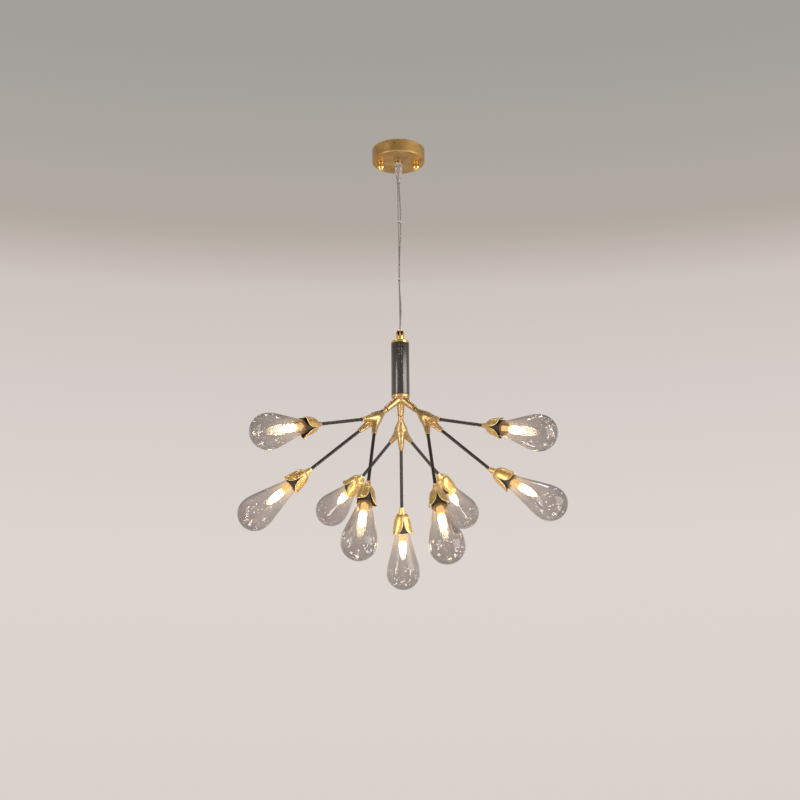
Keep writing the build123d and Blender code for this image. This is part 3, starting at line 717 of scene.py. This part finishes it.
def hub_piece(material):
    """A bowl under the tube with three sockets, each with a lip of its own."""
    bowl_place = in_mm(Matrix.Translation((0, 0, -tube_bottom_drop * mm)))
    bowl = [(tube_r, -0.15), (tube_r + 0.15, -2.5), (15.2, -6.2), (12.0, -9.4), (8.4, -11.6), (3.0, -12.6)]
    socket = [(8.6, 0.0), (7.9, 8.0), (7.3, 14.0), (6.5, 24.0), (5.7, 35.0), (5.4, 37.4)]
    lip = [(3.6, 37.6), (5.4, 37.6), (5.8, 38.0), (5.8, 39.4), (5.4, 39.9), (3.6, 39.9)]
    solids = [solid(bowl, bowl_place, bowl_segments)]
    solids += [solid(socket, stem_place(fork), arm_segments) for fork in fork_azimuths]
    casting("hub_casting", solids, material, "stem", "hub", voxel=0.5, smooth=8)
    for fork in fork_azimuths:
        ring = lathe(f"socket_lip_{fork}", lip, stem_place(fork), material, "stem", segments=arm_segments)
        outward(ring)
        soften_edges(ring, 0.15)


def dress(material, *nodes):
    """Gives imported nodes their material."""
    for node in nodes:
        slots = frame["nodes"][node].data.materials
        slots.clear()
        slots.append(material)


# Camera, fitted to the photograph: place and lens in millimetres, tilt and roll in degrees

camera_place = (-1.1, -2609.1, -1307.6)
camera_tilt = 17.21
camera_roll = -0.52
camera_lens = 67.68


def make_camera():
    data = bpy.data.cameras.new("camera")
    data.lens = camera_lens
    data.sensor_width = 36.0
    data.clip_end = 100.0
    obj = add_object("camera", data)
    obj.matrix_world = (
        Matrix.Translation(Vector(camera_place) * mm)
        @ Matrix.Rotation(math.radians(90 + camera_tilt), 4, "X")
        @ Matrix.Rotation(math.radians(camera_roll), 4, "Z")
    )
    bpy.context.scene.camera = obj


# Lights, in metres and watts. A soft light has a place, a target, a size, a power and a colour

soft_lights = {
    "window_right": ((2.0, -1.15, -0.35), (0, 0, -0.5), (1.9, 1.8), 42.0, (1.0, 0.97, 0.94)),
    "window_left": ((-1.7, -1.5, -0.5), (0, 0, -0.5), (0.7, 1.6), 14.0, (1.0, 0.96, 0.92)),
    "low_left": ((-1.45, -0.95, -1.25), (0, 0, -0.65), (0.3, 0.6), 7.0, (1.0, 0.97, 0.93)),
    "low_right": ((1.45, -0.95, -1.45), (0, 0, -0.65), (0.3, 0.6), 7.0, (1.0, 0.97, 0.93)),
    "table_glow_left": ((-0.62, -0.11, -1.5), (0, 0, -0.69), (0.34, 0.2), 2.2, (1.0, 0.98, 0.95)),
    "table_glow_right": ((0.62, -0.11, -1.5), (0, 0, -0.69), (0.34, 0.2), 2.2, (1.0, 0.98, 0.95)),
}
room_lamps = ((-1.3, -1.4, 0.1), (-0.45, -1.8, 0.5), (0.5, -1.7, 0.45), (1.25, -1.5, 0.0),
              (0.5, -1.9, -1.6), (-0.35, -1.8, -1.9), (-1.6, -0.6, -1.4), (1.5, -0.5, -1.6))
ceiling_lamps = {"left": (-0.4, 0.2, 0.63), "right": (0.4, 0.2, 0.63)}

# The lamps' radius, power and colour
room_lamp = (0.045, 2.0, (1.0, 0.95, 0.88))
ceiling_lamp = (0.1, 5.0, (1.0, 0.97, 0.93))


def add_light(name, kind, place, power, color):
    data = bpy.data.lights.new(name, kind)
    data.energy = power
    data.color = color
    obj = add_object(name, data)
    obj.location = place
    obj.visible_camera = False
    return obj


def soft_light(name, place, target, size, power, color):
    """A rectangle of light, which shows in reflections only."""
    obj = add_light(name, "AREA", place, power, color)
    obj.data.shape = "RECTANGLE"
    obj.data.size, obj.data.size_y = size
    obj.rotation_euler = (Vector(target) - Vector(place)).to_track_quat("-Z", "Y").to_euler()
    obj.visible_transmission = False


def small_light(name, place, radius, power, color):
    """A small bright lamp in the room, which shows as a dot in glass and metal."""
    obj = add_light(name, "POINT", place, power, color)
    obj.data.shadow_soft_size = radius


def make_lights():
    for name, settings in soft_lights.items():
        soft_light(name, *settings)
    for index, place in enumerate(room_lamps):
        small_light(f"room_lamp_{index + 1}", place, *room_lamp)
    for side, place in ceiling_lamps.items():
        small_light(f"ceiling_lamp_{side}", place, *ceiling_lamp)


# Room: the surround's tones from level upward, each at the sine of its angle, and its darker near side

wall_colors = ((0.0, (0.69, 0.64, 0.60)), (0.20, (0.73, 0.665, 0.624)), (0.30, (0.665, 0.61, 0.585)),
               (0.365, (0.62, 0.55, 0.515)), (0.40, (0.45, 0.40, 0.357)), (0.43, (0.425, 0.395, 0.36)),
               (0.50, (0.37, 0.35, 0.33)))
near_shade = {"From Min": -0.85, "From Max": 0.1, "To Min": 0.72, "To Max": 1.0}
floor_drop = 3.0
floor_reach = 12.0
floor_lift = 0.48


def make_world():
    """A plain pale room with a greyer ceiling and a darker near side, which camera, metal and glass see."""
    world = bpy.data.worlds.new("surround")
    world.use_nodes = True
    bpy.context.scene.world = world
    tree = world.node_tree
    back = tree.nodes["Background"]
    place = tree.nodes.new("ShaderNodeTexCoord")
    parts = tree.nodes.new("ShaderNodeSeparateXYZ")
    ramp = tree.nodes.new("ShaderNodeValToRGB")
    near = tree.nodes.new("ShaderNodeMapRange")
    for key, value in near_shade.items():
        near.inputs[key].default_value = value
    fill_ramp(ramp.color_ramp, wall_colors)
    tree.links.new(place.outputs["Generated"], parts.inputs[0])
    tree.links.new(parts.outputs["Z"], ramp.inputs["Fac"])
    tree.links.new(ramp.outputs["Color"], back.inputs["Color"])
    tree.links.new(parts.outputs["Y"], near.inputs["Value"])
    tree.links.new(near.outputs["Result"], back.inputs["Strength"])


def make_stage():
    """A plain pale floor, lifted to the wall's tone where the camera, metal or glass sees it."""
    look = Look("floor_paint")
    paint = look.ramp(look.noise(2.0), (0.3, (0.70, 0.64, 0.605)), (0.7, (0.73, 0.67, 0.635)))
    rays = look.add("ShaderNodeLightPath").outputs
    seen = look.worked("MAXIMUM", rays["Is Camera Ray"], rays["Is Glossy Ray"])
    seen = look.worked("MAXIMUM", seen, rays["Is Transmission Ray"])
    lift = look.worked("MULTIPLY", seen, floor_lift)
    look.set(Base_Color=paint, Roughness=0.8, Emission_Color=paint, Emission_Strength=lift)
    mesh = bpy.data.meshes.new("floor")
    corners = [(x * floor_reach, y * floor_reach, 0) for x, y in ((-1, -1), (1, -1), (1, 1), (-1, 1))]
    mesh.from_pydata(corners, [], [(0, 1, 2, 3)])
    mesh.materials.append(look.material)
    floor = add_object("floor", mesh)
    floor.location = (0, 0, -floor_drop)


bpy.context.scene.view_settings.view_transform = "Standard"
make_camera()
make_world()
make_stage()
make_lights()

polished = polished_gold()
cast = cast_brass()
petals = petal_gold()
chrome = steel("chrome", (0.75, 0.74, 0.73), 0.12)
plated = steel("plated_steel", (0.55, 0.54, 0.52), 0.35)
wire = steel("wire_steel", (0.24, 0.22, 0.21), 0.4, strand=900.0)
clear_sleeve = clear("clear_plastic", (0.80, 0.77, 0.76), 0.24, 0.75)
clear_cord = clear("clear_cord", (0.34, 0.31, 0.29), 0.25, 0.4)
glass = smoked_glass()
hot = lit_capsule()
cream = lamp_base()
ceramic = satin("dark_ceramic", (0.030, 0.020, 0.014), (0.055, 0.036, 0.024), 0.45)
clip = satin("clip_plastic", (0.40, 0.38, 0.36), (0.50, 0.48, 0.46), 0.3)
white = satin("white_plastic", (0.70, 0.69, 0.66), (0.78, 0.77, 0.74), 0.5)
rod = satin("black_rod", (0.010, 0.007, 0.006), (0.018, 0.013, 0.010), 0.25, coat=0.3, grain=0.02)
tube_black = satin("black_tube", (0.007, 0.005, 0.004), (0.012, 0.009, 0.007), 0.2, coat=0.5, grain=0.004,
                   shine=0.9)

dress(brushed_gold(), "canopy")
dress(plated, "ceiling_bracket", "yoke_nut")
dress(polished, "canopy_screw_left", "canopy_screw_right", "hanging_yoke", "tube_cap")
dress(chrome, "grip_nuts")
dress(clear_cord, "canopy_cord", "power_cord")
dress(wire, "canopy_wire", "suspension_wire")
dress(clip, "cord_clips")
dress(white, "terminal_block", "splice_connector")

grip_sleeve(clear_sleeve)
tube_piece(tube_black)
hub_piece(cast)
for fork in fork_azimuths:
    fork_piece(fork, cast)
    dress(rod, f"rods_{fork}")
for arm in arms:
    flower_cup(arm, petals)
    glass_drop(arm, glass)
    capsule(arm, hot, cream, plated)
    dress(ceramic, f"lamp_holder_{arm}")
